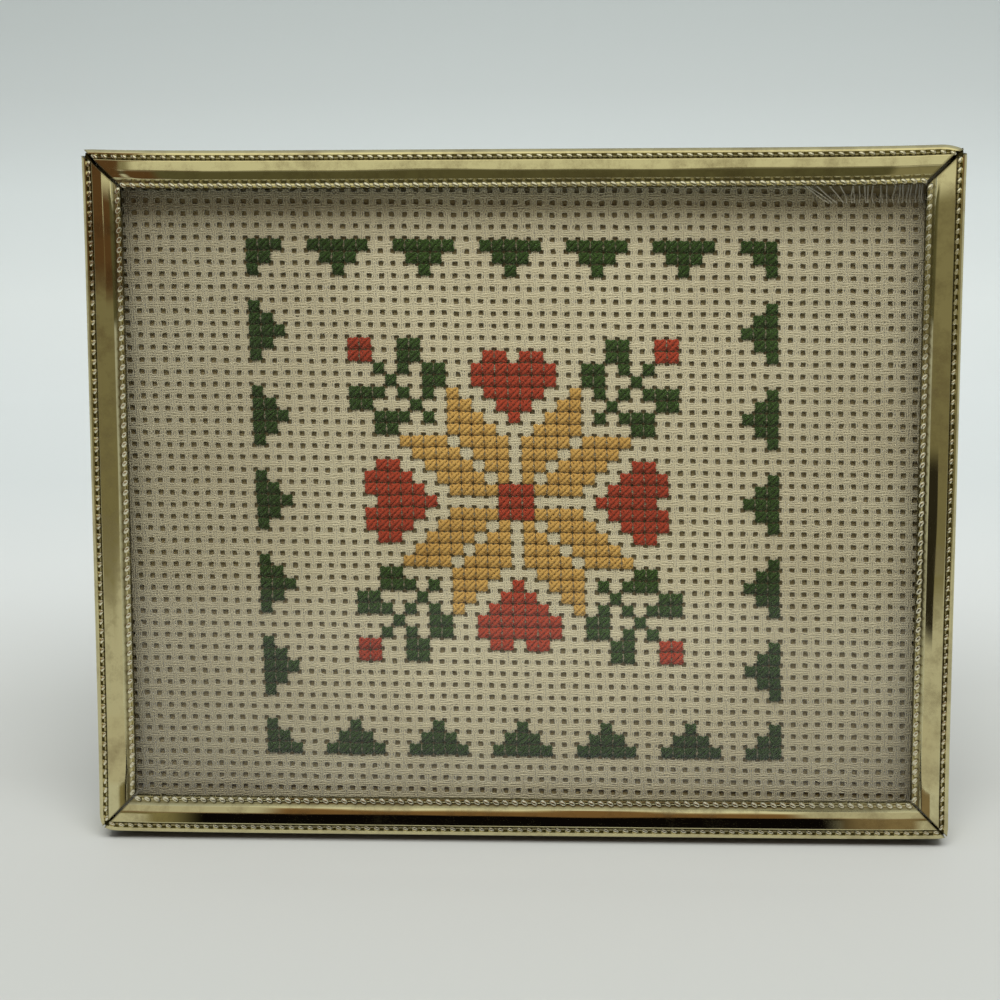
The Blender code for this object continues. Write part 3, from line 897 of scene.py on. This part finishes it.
lines_right = ground_lines(COLUMNS_BEYOND_CHART)
lines_down = ground_lines(ROWS_BEYOND_CHART)
points = on_cloth(lines_right[:, None], lines_down[None, :], GROUND_DEPTH)
points[..., 0] = np.clip(points[..., 0], -CLOTH_WIDTH / 2, CLOTH_WIDTH / 2)
cloth_foot = (FRAME_HEIGHT - CLOTH_HEIGHT) / 2
points[..., 2] = np.clip(points[..., 2], cloth_foot, cloth_foot + CLOTH_HEIGHT)
quads = []
rows_of_lines = len(lines_down)
for i in range(len(lines_right) - 1):
    for j in range(rows_of_lines - 1):
        if i % 2 == 1 and j % 2 == 1:
            continue
        corners = points[i:i + 2, j:j + 2]
        middle = corners.mean(axis=(0, 1))
        size = corners.max(axis=(0, 1)) - corners.min(axis=(0, 1))
        frayed = middle[0] > FRAY_LEFT and FRAME_HEIGHT / 2 - middle[2] < FRAY_TOP
        if frayed or size[0] < 1e-6 or size[2] < 1e-6:
            continue
        a = i * rows_of_lines + j
        quads.append((a, a + 1, a + rows_of_lines + 1, a + rows_of_lines))
quads = np.array(quads)
triangles = np.concatenate((quads[:, (0, 1, 2)], quads[:, (0, 2, 3)]))
used, renumbered = np.unique(triangles, return_inverse=True)
cloth = mesh_piece("evenweave_ground", to_world(points)[used], renumbered.reshape(-1, 3), ground_cotton)
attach(cloth, "root")
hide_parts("cloth")


# Threads: the cotton threads of the weave, four a block each way. The middle two
# of a block float over the crossing threads in every other block, and all of
# them close up between the holes.
THREAD_OVER = 4.84 * MM
THREAD_UNDER = 4.885 * MM
THREAD_HALF_WIDE = 0.31 * MM
THREAD_HALF_NARROW = 0.18 * MM
THREAD_HALF_HEIGHT = 0.06 * MM
STATION = 0.345
LANES = ((-0.36, -0.22, False), (-0.12, -0.073, True), (0.12, 0.073, True), (0.36, 0.22, False))
SIGHT_COLUMNS = (-12, CHART_CELLS + 12)
SIGHT_ROWS = (-5, CHART_CELLS + 5)
FRAY_COLUMN = 46
FRAY_ROW = -3
THREAD_TWIST = 9.0 / MM
THREAD_JITTER = 0.02


def tubes(paths, half_widths, half_heights, sides):
    """Points, triangles and ply places of flattened tubes with closed ends, along
    paths given as (tube, station, place in the frame)."""
    along = np.gradient(paths, axis=1)
    towards_viewer = np.array((0.0, -1.0, 0.0))
    side = np.cross(towards_viewer, along)
    side /= np.linalg.norm(side, axis=-1, keepdims=True)
    turns = np.pi / 2 + np.arange(sides) * 2 * np.pi / sides
    half_widths, half_heights = np.broadcast_arrays(half_widths, half_heights)
    half_widths = np.broadcast_to(half_widths, paths.shape[:2])
    half_heights = np.broadcast_to(half_heights, paths.shape[:2])
    outwards = (
        side[:, :, None] * (half_widths[..., None] * np.cos(turns))[..., None]
        + towards_viewer * (half_heights[..., None] * np.sin(turns))[..., None]
    )
    points = paths[:, :, None] + outwards
    tube_count, station_count = paths.shape[:2]
    steps = np.linalg.norm(np.diff(paths, axis=1), axis=-1)
    run = np.concatenate((np.zeros((tube_count, 1)), np.cumsum(steps, axis=1)), axis=1)
    ply = np.zeros(points.shape)
    ply[..., 0] = run[..., None]
    ply[..., 1] = np.cos(turns) * 1.6
    number = np.arange(tube_count * station_count * sides).reshape(tube_count, station_count, sides)
    here = number[:, :-1]
    beside = np.roll(here, -1, axis=2)
    after = number[:, 1:]
    after_beside = np.roll(after, -1, axis=2)
    parts = [
        np.stack((here, beside, after_beside), axis=-1).reshape(-1, 3),
        np.stack((here, after_beside, after), axis=-1).reshape(-1, 3),
    ]
    for k in range(1, sides - 1):
        parts.append(number[:, 0][:, (0, k + 1, k)])
        parts.append(number[:, -1][:, (0, k, k + 1)])
    return points.reshape(-1, 3), np.concatenate(parts), ply.reshape(-1, 3)


thread_random = np.random.default_rng(28)
thread_cotton = cotton_finish("thread_cotton", ECRU, ECRU_SHADE, THREAD_TWIST, 0.009 * MM, 1.8, 0.25)


def thread_paths(lines, blocks, downwards, lanes):
    """Paths of the threads of some rows or columns of blocks, with their half widths."""
    first, last = blocks
    middles = np.arange(first, last)
    stations = (middles[:, None] + 0.5 + np.array((-STATION, 0.0, STATION))).ravel()
    at_middle = np.tile((False, True, False), len(middles))
    block_of = np.repeat(middles, 3)
    paths = []
    widths = []
    for line in range(*lines):
        own = (line + block_of) % 2 == (0 if downwards else 1)
        for wide, narrow, floats in lanes:
            lane = np.where(at_middle, wide, narrow) + thread_random.normal(0, THREAD_JITTER, len(stations))
            over = own if floats else np.zeros_like(own)
            over = over | (~own & ~at_middle)
            depth = np.where(over, THREAD_OVER, THREAD_UNDER)
            across = line + 0.5 + lane
            if downwards:
                paths.append(on_cloth(across, stations, depth))
            else:
                paths.append(on_cloth(stations, across, depth))
            widths.append(np.where(at_middle, THREAD_HALF_WIDE, THREAD_HALF_NARROW))
    return np.array(paths), np.array(widths)


def add_threads(name, lines, blocks, downwards, lanes=LANES):
    """A piece of some of the weave's threads, riding on the cloth."""
    paths, widths = thread_paths(lines, blocks, downwards, lanes)
    points, triangles, ply = tubes(paths, widths, THREAD_HALF_HEIGHT, 3)
    piece = mesh_piece(name, to_world(points), triangles, thread_cotton, ply)
    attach(piece, "root")
    return piece


middle_column = sum(SIGHT_COLUMNS) // 2
middle_row = sum(SIGHT_ROWS) // 2
on_the_cloth = [
    add_threads("warp_left", (SIGHT_COLUMNS[0], middle_column), SIGHT_ROWS, True),
    add_threads("warp_right", (middle_column, FRAY_COLUMN), SIGHT_ROWS, True),
    add_threads("warp_end", (FRAY_COLUMN, SIGHT_COLUMNS[1]), (FRAY_ROW - 1, SIGHT_ROWS[1]), True),
    add_threads("weft_top", (SIGHT_ROWS[0], FRAY_ROW), (SIGHT_COLUMNS[0], FRAY_COLUMN), False),
    add_threads("weft_last", (FRAY_ROW - 1, FRAY_ROW), (FRAY_COLUMN, SIGHT_COLUMNS[1]), False, LANES[2:]),
    add_threads("weft_upper", (FRAY_ROW, middle_row), SIGHT_COLUMNS, False),
    add_threads("weft_lower", (middle_row, SIGHT_ROWS[1]), SIGHT_COLUMNS, False),
]


# Frayed corner: the top rows have come out, and the ends of the upright threads
# stand loose and white in front of the board.
FRAY_COUNT = 23
FRAY_FIRST = 45.2 * MM
FRAY_RIGHT = 60.5 * MM
FRAY_FOOT = FRAY_TOP + 0.5 * MM
FRAY_END = -47.0 * MM
FRAY_DEPTH = 4.7 * MM
FRAY_HALF = 0.115 * MM
FRAY_SLANTS = (-5.2, -4.9, -4.4, -2.9, -1.0)
FRAY_COTTON = (0.80, 0.75, 0.60)
FRAY_SHADE = (0.60, 0.55, 0.42)
fray_random = np.random.default_rng(5)
fray_cotton = cotton_finish("fray_cotton", FRAY_COTTON, FRAY_SHADE, THREAD_TWIST, 0.015 * MM, 1.0, 0.3)
rises = np.linspace(0, 1, 7)
paths = []
for k in range(FRAY_COUNT):
    foot = FRAY_FIRST + (FRAY_RIGHT - FRAY_FIRST) * (k + fray_random.uniform(0.0, 0.7)) / FRAY_COUNT
    slant = FRAY_SLANTS[k] * MM if k < len(FRAY_SLANTS) else fray_random.normal(0, 0.35 * MM)
    bow = fray_random.normal(0, 0.12 * MM)
    x = foot + slant * rises + bow * np.sin(rises * np.pi * 2)
    down = FRAY_FOOT + (FRAY_END - FRAY_FOOT) * rises
    depth = FRAY_DEPTH + fray_random.uniform(-0.15, 0.1) * MM + 0.1 * MM * np.sin(rises * 3)
    paths.append(np.stack((x, np.broadcast_to(depth, x.shape), FRAME_HEIGHT / 2 - down), axis=-1))
points, triangles, ply = tubes(np.array(paths)[:, ::-1], FRAY_HALF, FRAY_HALF, 5)
fray = mesh_piece("frayed_ends", to_world(points), triangles, fray_cotton, ply)
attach(fray, "root")
on_the_cloth.append(fray)


# Cross stitches: two strands of cotton floss over one block, the second arm
# always on top. The border is a common repeat of small triangles. The middle
# is charted here as a quarter, mirrored both ways about its centre.
STITCH_STATIONS = (0.08, 0.19, 0.34, 0.66, 0.81, 0.92)
STITCH_DEPTHS = (5.00 * MM, 4.70 * MM, 4.54 * MM, 4.54 * MM, 4.70 * MM, 5.00 * MM)
TOP_ARM_RISE = 0.10 * MM
STRAND_SPREAD = (0.015, 0.11, 0.17, 0.17, 0.11, 0.015)
STRAND_SWELL = (0.25, 0.8, 1.0, 1.0, 0.8, 0.25)
STRAND_HALF_HEIGHT = 0.105 * MM
FLOSSES = {
    "G": ("green_stitches", (0.026, 0.056, 0.008), (0.011, 0.027, 0.004), 0.29 * MM),
    "R": ("red_stitches", (0.34, 0.042, 0.016), (0.18, 0.019, 0.008), 0.29 * MM),
    "Y": ("gold_stitches", (0.52, 0.31, 0.08), (0.34, 0.18, 0.04), 0.29 * MM),
}
FLOSS_TWIST = 14.0 / MM
QUARTER = (
    "........GG..RR",
    ".RR.....GG..RR",
    "RRRR..GG.G.G..",
    "RRRR..GG..G...",
    "RRR..Y.G.G.GGG",
    "RR..YY..G...GG",
    "R..YYY.G.GGG..",
    "..YYYY....GG..",
    ".YYYY.YYYY....",
    ".YYY.YYYY.....",
    ".YY.YYYY..RR..",
    ".Y.YYYY..RRRR.",
    "RRYYYY..RRRRR.",
    "RR.....RRRRR..",
)
TRIANGLE_STARTS = (5, 12, 19, 26, 33)
TRIANGLE_ROWS = (5, 3, 1)
CORNER_ROWS = (3, 2, 1)

stitches = {}
last = CHART_CELLS - 1
for start in TRIANGLE_STARTS:
    for row, width in enumerate(TRIANGLE_ROWS):
        for k in range(width):
            along = start + row + k
            for cell in ((along, row), (along, last - row), (row, along), (last - row, along)):
                stitches[cell] = "G"
for row, width in enumerate(CORNER_ROWS):
    for k in range(width):
        for cell in ((k, row), (last - k, row), (k, last - row), (last - k, last - row)):
            stitches[cell] = "G"
half = len(QUARTER) - 1
middle_cell = CHART_CELLS // 2
for row, cells in enumerate(QUARTER):
    for k, colour in enumerate(cells):
        if colour == ".":
            continue
        for right in (k, -k):
            for down in (half - row, row - half):
                stitches[(middle_cell + right, middle_cell + down)] = colour

stitch_random = np.random.default_rng(11)
for colour, (name, bright, deep, half_width) in FLOSSES.items():
    cells = [cell for cell in stitches if stitches[cell] == colour]
    paths = []
    widths = []
    for column, row in cells:
        for top_arm in (False, True):
            for strand in (-1, 1):
                part = np.array(STITCH_STATIONS)
                spread = strand * np.array(STRAND_SPREAD) + stitch_random.normal(0, 0.012, len(part))
                down = 1 - part if top_arm else part
                s = column + part + spread * math.sqrt(0.5) * (1 if top_arm else -1)
                t = row + down + spread * math.sqrt(0.5)
                lift = TOP_ARM_RISE * np.sin(np.pi * part) if top_arm else 0.0
                depth = np.array(STITCH_DEPTHS) - lift + stitch_random.normal(0, 0.01 * MM)
                paths.append(on_cloth(s, t, depth))
                size = stitch_random.uniform(0.9, 1.08)
                widths.append(half_width * size * np.array(STRAND_SWELL))
    floss = cotton_finish(name + "_floss", bright, deep, FLOSS_TWIST, 0.02 * MM, 1.4, 0.06)
    points, triangles, ply = tubes(np.array(paths), np.array(widths), STRAND_HALF_HEIGHT, 5)
    piece = mesh_piece(name, to_world(points), triangles, floss, ply)
    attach(piece, "root")
    on_the_cloth.append(piece)


# Back board and strut: dense fibreboard covered in matt dark paper, with a grain
# of pressed fibres and pale rubbed patches.
BOARD_PAPER = (0.33, 0.265, 0.13)
BOARD_RUBBED = (0.40, 0.34, 0.22)

board_paper, nodes, links, shader = new_finish("board_paper")
shader.inputs["Roughness"].default_value = 0.85
place = nodes.new("ShaderNodeTexCoord")
fibre = speckles(nodes, links, place, 900, 6)
rubs = speckles(nodes, links, place, 60, 7, 0.7)
rubbed = nodes.new("ShaderNodeMapRange")
rubbed.inputs["From Min"].default_value = 0.55
rubbed.inputs["From Max"].default_value = 0.85
links.new(rubs.outputs["Fac"], rubbed.inputs["Value"])
blend = nodes.new("ShaderNodeMix")
blend.data_type = "RGBA"
blend.inputs["A"].default_value = (*BOARD_PAPER, 1)
blend.inputs["B"].default_value = (*BOARD_RUBBED, 1)
links.new(rubbed.outputs["Result"], blend.inputs["Factor"])
links.new(blend.outputs["Result"], shader.inputs["Base Color"])
relief = nodes.new("ShaderNodeBump")
relief.inputs["Strength"].default_value = 0.5
relief.inputs["Distance"].default_value = 0.05 * MM
links.new(fibre.outputs["Fac"], relief.inputs["Height"])
links.new(relief.outputs["Normal"], shader.inputs["Normal"])
for node in ("back_board", "strut_leg"):
    board = bpy.data.objects[node]
    board.data.materials.clear()
    board.data.materials.append(board_paper)


# Hinge plate: a short strap of brass-plated steel, bent once, that holds the top
# of the strut to the back board.
PLATE_BRASS = (0.52, 0.44, 0.24)

plate_metal = brass_finish("plate_brass", PLATE_BRASS, TARNISH, 0.8, 0.1, 0.35)
plate = bpy.data.objects["strut_hinge"]
plate.data.materials.clear()
plate.data.materials.append(plate_metal)
